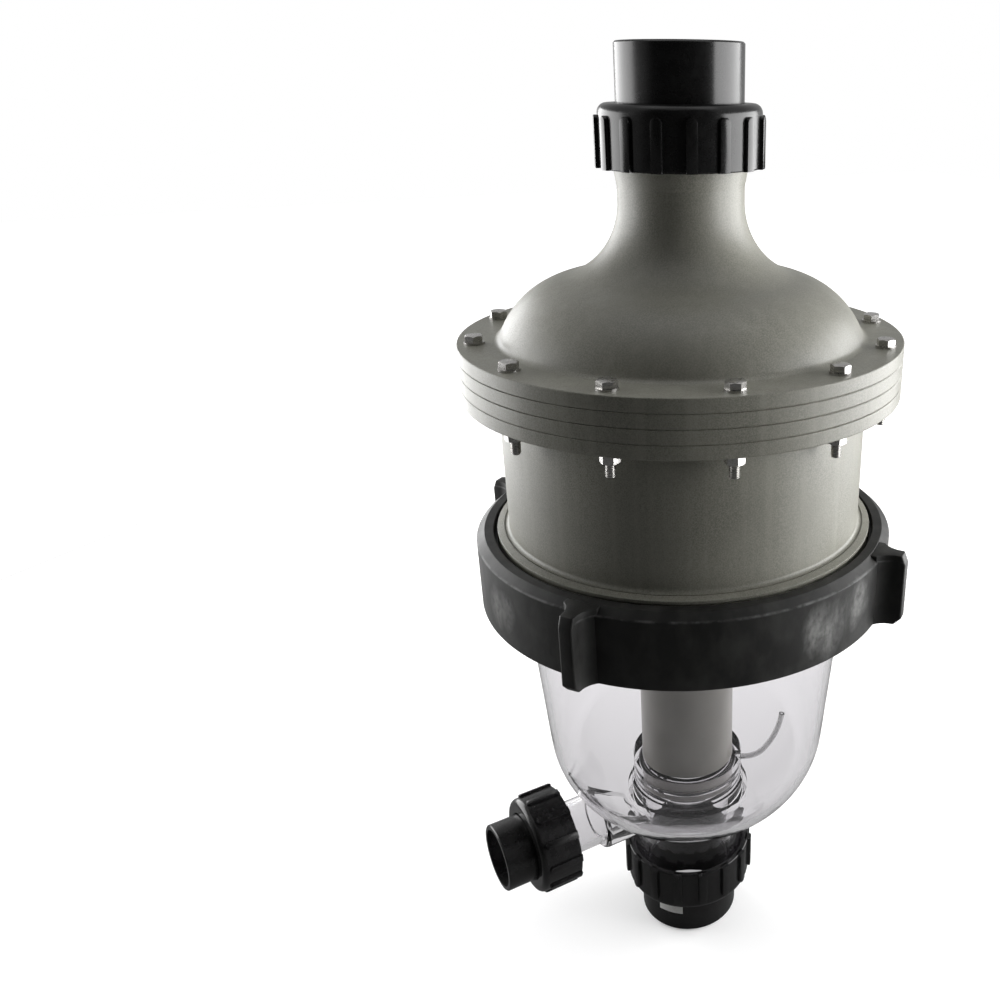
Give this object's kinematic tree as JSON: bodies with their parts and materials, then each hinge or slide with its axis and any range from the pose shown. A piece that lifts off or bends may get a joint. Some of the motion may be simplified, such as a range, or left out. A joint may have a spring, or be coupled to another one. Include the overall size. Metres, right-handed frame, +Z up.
{
  "type": "centrifugal prefilter",
  "caption": "Clear-bowl multi-cyclone water prefilter with a bolted dome, a threaded lock ring, pipe unions at the inlet and outlet, and a side drain union.",
  "frame": {"origin": "centre of the lower rim of the inlet tail, in the mouth of its pipe socket", "axes": "+Z up along the filter's axis, -X along the drain"},
  "size_m": [0.2946, 0.2788, 0.64],
  "materials": {
    "black_union": "glossy black",
    "grey_body": "speckled warm grey",
    "black_ring": "matte black, lightly scuffed",
    "clear_bowl": "clear, faintly lilac grey",
    "clear_tube": "clear",
    "grey_tube": "satin grey",
    "cyclone_plastic": "satin off-white",
    "stainless": "bright stainless",
    "seal_rubber": "matt black"
  },
  "bodies": {
    "housing": {"top_dome": "grey_body", "dome_o_ring": "seal_rubber", "vortex_plate": "grey_body", "vortex_finders": "cyclone_plastic", "plate_o_ring": "seal_rubber", "cyclone_plate": "grey_body", "body_o_ring": "seal_rubber", "main_body": "grey_body", "hydrocyclones": "cyclone_plastic", "hydrocyclone_o_rings": "seal_rubber", "feed_tube": "grey_tube", "feed_tube_upper_o_ring": "seal_rubber", "flange_bolts": "stainless", "bolt_washers": "stainless", "flange_nuts": "stainless", "nut_washers": "stainless", "outlet_o_ring": "seal_rubber"},
    "bowl": {"clear_bowl": "clear_bowl", "bowl_seal_o_ring": "seal_rubber", "feed_tube_lower_o_ring": "seal_rubber", "bleed_tube": "clear_tube", "inlet_o_ring": "seal_rubber", "drain_o_ring": "seal_rubber"},
    "lock_ring": {"lock_ring": "black_ring"},
    "outlet_tail": {"outlet_tail": "black_union"},
    "outlet_nut": {"outlet_union_nut": "black_union"},
    "inlet_tail": {"inlet_tail": "black_union"},
    "inlet_nut": {"inlet_union_nut": "black_union"},
    "drain_tail": {"drain_tail": "black_union"},
    "drain_nut": {"drain_union_nut": "black_union"}
  },
  "joints": [
    {"name": "bowl_drop", "type": "slide", "parent": "housing", "child": "bowl", "axis": [0, 0, -1], "range_m": [0, 0.012]},
    {"name": "ring_turn", "type": "hinge", "parent": "bowl", "child": "lock_ring", "pos_m": [0, 0, 0.32], "axis": [0, 0, -1], "range_deg": [0, 540]},
    {"name": "outlet_slide", "type": "slide", "parent": "housing", "child": "outlet_tail", "axis": [0, 0, 1], "range_m": [0, 0.012]},
    {"name": "outlet_nut_turn", "type": "hinge", "parent": "outlet_tail", "child": "outlet_nut", "pos_m": [0, 0, 0.59], "axis": [0, 0, 1], "range_deg": [0, 1080]},
    {"name": "inlet_slide", "type": "slide", "parent": "bowl", "child": "inlet_tail", "axis": [0, 0, -1], "range_m": [0, 0.012]},
    {"name": "inlet_nut_turn", "type": "hinge", "parent": "inlet_tail", "child": "inlet_nut", "pos_m": [0, 0, 0.05], "axis": [0, 0, -1], "range_deg": [0, 1080]},
    {"name": "drain_slide", "type": "slide", "parent": "bowl", "child": "drain_tail", "axis": [-1, 0, 0], "range_m": [0, 0.012]},
    {"name": "drain_nut_turn", "type": "hinge", "parent": "drain_tail", "child": "drain_nut", "pos_m": [-0.12, 0, 0.1195], "axis": [-1, 0, 0], "range_deg": [0, 1080]}
  ],
  "couplings": [
    {"joint": "bowl_drop", "follows": "ring_turn", "m_per_rad": 0.001273},
    {"joint": "outlet_slide", "follows": "outlet_nut_turn", "m_per_rad": 0.000636},
    {"joint": "inlet_slide", "follows": "inlet_nut_turn", "m_per_rad": 0.000636},
    {"joint": "drain_slide", "follows": "drain_nut_turn", "m_per_rad": 0.000636}
  ]
}
